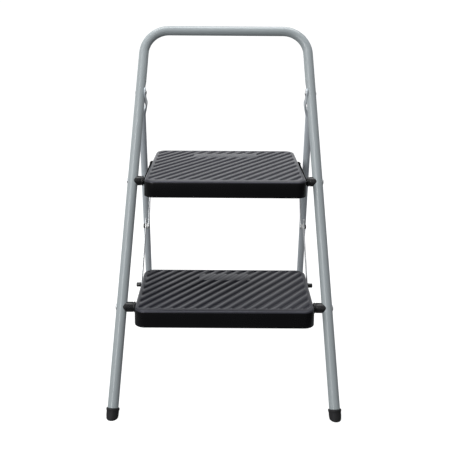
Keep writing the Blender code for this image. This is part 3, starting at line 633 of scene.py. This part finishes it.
def lay_across(name, surface, body, stands_for, centre, outline, side=1.0, sides=48):
    """Turn an outline of (distance from the middle, radius) pairs and lay it along X at a centre."""
    turn_up(outline, sides)
    place = Matrix.Translation((0.0, centre.y, centre.z)) @ Matrix.Rotation(side * math.pi / 2, 4, "Y")
    return shape_done(name, surface, body, stands_for, place)


for level, up in (("upper", 0.4697), ("lower", 0.2108)):
    axle = middle_of(f"{level}_axle")
    tube_in = leg_x(up) - TUBE_R
    tube_out = leg_x(up) + TUBE_R
    end = tube_out + 0.0012
    lay_across(
        f"{level}_axle_rod", zinc, "frame", [f"{level}_axle"], axle,
        [(-end, 0.0034), (-end + 0.0006, 0.0040), (end - 0.0006, 0.0040), (end, 0.0034)],
    )
    for side, sign in (("left", -1.0), ("right", 1.0)):
        low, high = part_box(f"{level}_spacer_{side}")
        start = min(abs(low.x), abs(high.x))
        stop = tube_in + 0.0060
        spacer = lay_across(
            f"{level}_spacer_{side}_collar", black, "frame", [f"{level}_spacer_{side}"],
            axle, [
                (start, 0.0080), (start, 0.0094), (start + 0.0005, 0.0101), (start + 0.0014, 0.0105),
                (start + 0.0030, 0.0105), (start + 0.0036, 0.0101), (start + 0.0039, 0.0094),
                (start + 0.0048, 0.0094), (start + 0.0051, 0.0099), (start + 0.0058, 0.0102),
                (stop, 0.0102),
            ], sign, 56,
        )
        let_go()
        seat = LEANING @ Vector((sign * leg_x(up), 0.0, up))
        run = (LEANING.to_3x3() @ Vector((-sign * FLARE, 0.0, 1.0))).to_track_quat("Z", "Y")
        bpy.ops.mesh.primitive_cylinder_add(
            vertices=64, radius=TUBE_R + 0.00005, depth=0.05, location=seat, rotation=run.to_euler()
        )
        leg_shape = bpy.context.object
        bpy.context.view_layer.objects.active = spacer
        seat_cut = spacer.modifiers.new("leg_seat", "BOOLEAN")
        seat_cut.operation = "DIFFERENCE"
        seat_cut.solver = "EXACT"
        seat_cut.object = leg_shape
        bpy.ops.object.modifier_apply(modifier=seat_cut.name)
        bpy.data.objects.remove(leg_shape, do_unlink=True)
        let_go()
        spacer.select_set(True)
        bpy.ops.object.shade_smooth_by_angle(angle=math.radians(38.0))
        lay_across(
            f"{level}_axle_cap_{side}", zinc, "frame", [f"{level}_axle_head_{side}"],
            axle, [
                (tube_out - 0.0002, 0.0060), (tube_out + 0.0004, 0.0065), (tube_out + 0.0014, 0.0064),
                (tube_out + 0.0021, 0.0056), (tube_out + 0.0026, 0.0042), (tube_out + 0.0028, 0.0020),
            ], sign, 40,
        )

# ---------------------------------------------------------------- top rivets
# Domed steel rivets hold each rear leg to the flat pressed in the frame's inner side. The
# head shows inside the leg, and the other end is peened over on the outside.
SEAT_GAP = 0.0003
TANG_THICK = 0.0028
press_x = leg_x(RIVET_UP) - TUBE_R + PRESS_DEPTH
rivet = middle_of("top_rivet_left")
for side, sign in (("left", -1.0), ("right", 1.0)):
    head_x = press_x - SEAT_GAP - TANG_THICK
    peen_x = leg_x(RIVET_UP) + TUBE_R
    lay_across(
        f"frame_rivet_{side}", zinc, "frame", [f"top_rivet_{side}"], rivet,
        [
            (head_x - 0.0024, 0.0018), (head_x - 0.0020, 0.0034), (head_x - 0.0012, 0.0046),
            (head_x - 0.0002, 0.0050), (head_x - 0.0001, 0.0025), (peen_x - 0.0002, 0.0025),
            (peen_x - 0.0001, 0.0050), (peen_x + 0.0008, 0.0047), (peen_x + 0.0016, 0.0034),
            (peen_x + 0.0020, 0.0018),
        ], sign, 40,
    )

# ---------------------------------------------------------------- rear rods and pins
# A thin steel rod crosses the back of each tray. Black caps close its ends, short ones on
# the upper tray and long ones below. Headed steel pins carry the side links on the upper tray.
ROD_R = 0.0035
rod = middle_of("upper_rear_rod")
lay_across(
    "upper_rear_bar", zinc, "upper_step", ["upper_rear_rod"], rod,
    [(-0.1740, 0.0030), (-0.1735, ROD_R), (0.1735, ROD_R), (0.1740, 0.0030)],
)
for side, sign in (("left", -1.0), ("right", 1.0)):
    lay_across(
        f"upper_bar_cap_{side}", black, "upper_step", [f"upper_rod_cap_{side}"], rod,
        [
            (0.1706, 0.0048), (0.1744, 0.0048), (0.1750, 0.0045), (0.1753, 0.0038), (0.1754, 0.0015),
        ], sign, 40,
    )
pin = middle_of("link_pin_left")
for side, sign in (("left", -1.0), ("right", 1.0)):
    low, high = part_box(f"link_pin_{side}")
    inner, outer = sorted((abs(low.x), abs(high.x)))
    lay_across(
        f"link_pivot_{side}", zinc, "upper_step", [f"link_pin_{side}"], pin,
        [
            (inner, 0.0028), (inner + 0.0006, 0.0044), (inner + 0.0013, 0.0050), (inner + 0.0020, 0.0050),
            (inner + 0.0021, ROD_R), (outer - 0.0018, ROD_R), (outer - 0.0017, 0.0050),
            (outer - 0.0008, 0.0049), (outer - 0.0003, 0.0040), (outer, 0.0026),
        ], sign, 40,
    )
rod = middle_of("lower_rear_rod")
lay_across(
    "lower_rear_bar", zinc, "lower_step", ["lower_rear_rod"], rod,
    [(-0.1940, 0.0030), (-0.1935, ROD_R), (0.1935, ROD_R), (0.1940, 0.0030)],
)
for side, sign in (("left", -1.0), ("right", 1.0)):
    low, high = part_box(f"lower_rod_cap_{side}")
    start = min(abs(low.x), abs(high.x))
    lay_across(
        f"lower_bar_cap_{side}", black, "lower_step", [f"lower_rod_cap_{side}"], rod,
        [
            (start, 0.0052), (start + 0.0006, 0.0055), (start + 0.0014, 0.0055), (start + 0.0019, 0.0048),
            (0.1952, 0.0047), (0.1960, 0.0043), (0.1964, 0.0034), (0.1965, 0.0014),
        ], sign, 40,
    )

# ---------------------------------------------------------------- side links
# On each side two flat steel bars, riveted end to end, tie the two steps together so that
# they fold as one. The rivet is a white nylon sleeve between the bars under a dark cap.
BAR_WIDE = 0.014
BAR_THICK = 0.0020
BAR_LAP = 0.011
HIGH_BAR_X = 0.1730
LOW_BAR_TOP_X = 0.1801
LOW_BAR_EYE_X = 0.1845
ELBOW_UP = 0.130

nylon = Finish("white_nylon", Roughness=0.42, Specular_IOR_Level=0.5)
bloom = nylon.noise(300.0, 3.0)
nylon.wear(
    Base_Color=nylon.blend(bloom, (0.74, 0.74, 0.73), (0.84, 0.84, 0.83)), Roughness=0.36 + 0.14 * bloom
)
nylon.relief(bloom, 0.00003, 0.25)


def flat_link(name, node, low_eye, high_eye, low_x, high_x, lap, sign, body):
    """A flat bar with round ends, from one eye to the other, joggled sideways if they differ."""
    run = high_eye - low_eye
    length = run.length
    let_go()
    bpy.ops.mesh.primitive_cube_add(size=1.0, location=(0.0, 0.0, (length + lap) / 2))
    bpy.ops.transform.resize(value=(BAR_THICK, BAR_WIDE, length + lap + BAR_WIDE))
    bpy.ops.object.transform_apply(location=True, rotation=True, scale=True)
    bpy.ops.object.mode_set(mode="EDIT")
    pick("EDGE", lambda a, b: abs(a.x - b.x) > BAR_THICK / 2)
    bpy.ops.mesh.bevel(offset=BAR_WIDE / 2 - 0.0001, segments=10)
    side_face = lambda v: abs(abs(v.x) - BAR_THICK / 2) < 0.00001
    pick("EDGE", lambda a, b: side_face(a) and side_face(b) and a.x * b.x > 0)
    bpy.ops.mesh.bevel(offset=0.00035, segments=2)
    bend_low, bend_high = BAR_WIDE / 2 + 0.002, length - BAR_WIDE / 2 - 0.002
    for up in (bend_low, bend_high):
        bpy.ops.mesh.select_all(action="SELECT")
        bpy.ops.mesh.bisect(plane_co=(0.0, 0.0, up), plane_no=(0, 0, 1))
    grab(lambda v: v.z > bend_high - 0.0001)
    bpy.ops.transform.translate(value=(sign * (high_x - low_x), 0.0, 0.0))
    up = run.normalized()
    wide = Vector((0.0, -up.z, up.y))
    turned = Matrix((Vector((1.0, 0.0, 0.0)), -wide, up)).transposed().to_4x4()
    place = Matrix.Translation((sign * low_x, low_eye.y, low_eye.z)) @ turned
    return shape_done(name, zinc, body, [node], place)


joint_at = {joint["name"]: Vector(joint["pos_m"]) for joint in frame["record"]["behaviour"]["joints"]}
high_eye = middle_of("link_pin_left")
low_eye = middle_of("lower_rear_rod")
high_eye.x = low_eye.x = 0.0
elbow = low_eye + (high_eye - low_eye).normalized() * ELBOW_UP
for side, sign in (("left", -1.0), ("right", 1.0)):
    body = f"side_link_{side}"
    flat_link(
        f"link_bar_low_{side}", f"link_lower_bar_{side}", low_eye, elbow,
        LOW_BAR_EYE_X, LOW_BAR_TOP_X, BAR_LAP, sign, body,
    )
    flat_link(
        f"link_bar_high_{side}", f"link_upper_bar_{side}", elbow, high_eye,
        HIGH_BAR_X, HIGH_BAR_X, 0.0, sign, body,
    )
    lay_across(
        f"link_sleeve_{side}", nylon, body, [f"link_spacer_{side}"], elbow,
        [
            (0.1741, 0.0056), (0.1743, 0.0061), (0.1748, 0.0062), (0.1783, 0.0062), (0.1788, 0.0061),
            (0.1790, 0.0056),
        ], sign, 48,
    )
    lay_across(
        f"link_stud_{side}", zinc, body, [f"link_rivet_{side}"], elbow,
        [
            (0.1708, 0.0022), (0.1710, 0.0040), (0.1714, 0.0049), (0.1719, 0.0050), (0.1720, 0.0025),
            (0.1830, 0.0025),
        ], sign, 40,
    )
    lay_across(
        f"link_button_{side}", black, body, [f"link_cap_{side}"], elbow,
        [
            (0.1813, 0.0052), (0.1817, 0.0056), (0.1838, 0.0056), (0.1847, 0.0051), (0.1852, 0.0040),
            (0.1854, 0.0018),
        ], sign, 48,
    )

# ---------------------------------------------------------------- rear legs
# Two 16 mm tubes. The top of each is squashed flat, bent back and drilled for its rivet, and a thinner
# tube is bolted across between them low down. All three wear the frame's grey paint drawn paler, as
# painted light standing in for the light that the lamps don't bring in under the steps.
SPREAD = math.radians(22.8)
LEG_R = 0.0079
LEG_BACK = 0.018
TANG_HALF = 0.0115
TANG_LENGTH = 0.014
CRANK_LENGTH = 0.030
SWELL_START = 0.041
SWELL_LENGTH = 0.030
EDGE_BULGE = 1.3
hip = joint_at["rear_leg_fold"]
SPREADING = Matrix.Translation(hip) @ Matrix.Rotation(SPREAD, 4, "X")
FERRULE_WALL = 0.0024
floor_run = (hip.z + LEG_BACK * math.sin(SPREAD)) / math.cos(SPREAD)
TOP_X = 0.1874
FLOOR_X = 0.1987
tang_x = press_x - SEAT_GAP - TANG_THICK / 2

# Painted light: a paler copy of the frame's grey paint, lightened to stand in for light under the steps.
grey_painted_lit = Finish("grey_paint_painted_lit", Roughness=0.34, Coat_Weight=0.35, Coat_Roughness=0.12, Specular_IOR_Level=0.5)
patch = grey_painted_lit.noise(9.0, 3.0)
fleck = grey_painted_lit.noise(260.0, 4.0, 0.7)
grey_painted_lit.wear(
    Base_Color=grey_painted_lit.blend(patch, (0.56, 0.61, 0.65), (0.61, 0.66, 0.70)),
    Roughness=0.27 + 0.12 * patch + 0.05 * fleck,
)
grey_painted_lit.relief(grey_painted_lit.noise(1900.0, 2.0, 0.6) + 0.4 * fleck, 0.00006, 0.35)


def smooth(t):
    """Eases from 0 to 1."""
    t = max(0.0, min(1.0, t))
    return t * t * (3.0 - 2.0 * t)


def section(down):
    """Middle and half sizes of the leg, so far below its rivet: x, back, half across, half deep."""
    bend = smooth((down - TANG_LENGTH) / CRANK_LENGTH)
    swell = smooth((down - SWELL_START) / SWELL_LENGTH)
    round_x = TOP_X + (FLOOR_X - TOP_X) * down / floor_run
    x = tang_x + (round_x - tang_x) * swell
    across = TANG_THICK / 2 + (LEG_R - TANG_THICK / 2) * swell
    deep = TANG_HALF + (LEG_R - TANG_HALF) * swell
    if down < 0.0:
        deep = math.sqrt(max(TANG_HALF ** 2 - down ** 2, 1e-9))
    return x, LEG_BACK * bend, across, deep


for side, sign in (("left", -1.0), ("right", 1.0)):
    downs = [floor_run - 0.0125, 0.200] + [0.074 - 0.0020 * k for k in range(31)]
    downs += [0.010, 0.005, 0.0]
    downs += [-TANG_HALF * math.cos(math.radians(a)) for a in (75, 60, 45, 30, 20, 12, 6)]
    let_go()
    x, back, across, deep = section(downs[0])
    bpy.ops.mesh.primitive_circle_add(vertices=48, radius=LEG_R, location=(0, 0, 0), fill_type="NGON")
    bpy.ops.object.mode_set(mode="EDIT")
    bpy.ops.mesh.select_all(action="SELECT")
    bpy.ops.transform.translate(value=(sign * x, back, -downs[0]))
    last = (x, back, LEG_R, LEG_R, downs[0])
    for down in downs[1:]:
        x, back, across, deep = section(down)
        # a squashed tube keeps round edges, so the ring stays wider than the flats it is pressed to
        flat = 1.0 - (across - TANG_THICK / 2) / (LEG_R - TANG_THICK / 2)
        wide = across * (1.0 + EDGE_BULGE * flat)
        step = (sign * (x - last[0]), back - last[1], last[4] - down)
        draw_out(step, (wide / last[2], deep / last[3], 1.0))
        last = (x, back, wide, deep, down)
    for down in downs[2:]:
        x, back, across, deep = section(down)
        for way in (-1.0, 1.0):
            grab(lambda v: abs(v.z + down) < 0.00005 and (v.x - sign * x) * way > across)
            face_x = sign * x + way * across
            bpy.ops.transform.resize(value=(0.0, 1.0, 1.0), center_override=(face_x, 0.0, 0.0))
    shape_done(f"leg_rear_{side}", grey_painted_lit, "rear_legs", [f"rear_leg_{side}"], SPREADING)

BAR_R = 0.00635
bar = middle_of("rear_crossbar")
bar_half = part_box("rear_crossbar")[1].x
lay_across(
    "rear_cross_tube", grey_painted_lit, "rear_legs", ["rear_crossbar"], bar,
    [(-bar_half, 0.0060), (-bar_half + 0.0004, BAR_R), (bar_half - 0.0004, BAR_R), (bar_half, 0.0060)],
)
for side, sign in (("left", -1.0), ("right", 1.0)):
    low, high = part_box(f"crossbar_bolt_{side}")
    inner, outer = sorted((abs(low.x), abs(high.x)))
    lay_across(
        f"cross_tube_bolt_{side}", zinc, "rear_legs", [f"crossbar_bolt_{side}"], bar,
        [
            (inner + 0.0140, 0.0025), (outer - 0.0021, 0.0025), (outer - 0.0020, 0.0050),
            (outer - 0.0010, 0.0048), (outer - 0.0003, 0.0036), (outer, 0.0018),
        ], sign, 40,
    )
    low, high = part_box(f"crossbar_plug_{side}")
    inner, outer = sorted((abs(low.x), abs(high.x)))
    lay_across(
        f"cross_tube_plug_{side}", rubber, "rear_legs", [f"crossbar_plug_{side}"], bar,
        [
            (inner, 0.0040), (inner + 0.0008, 0.0048), (outer - 0.0002, 0.0048), (outer, 0.0046),
        ], sign, 40,
    )
    sole = SPREADING @ Vector((sign * FLOOR_X, LEG_BACK, -floor_run))
    axis = SPREADING.to_3x3() @ Vector((-sign * (FLOOR_X - TOP_X) / floor_run, 0.0, 1.0)).normalized()
    ferrule(
        f"foot_rear_{side}", "rear_legs", [f"rear_foot_{side}"], sole, axis, LEG_R, LEG_R + FERRULE_WALL
    )
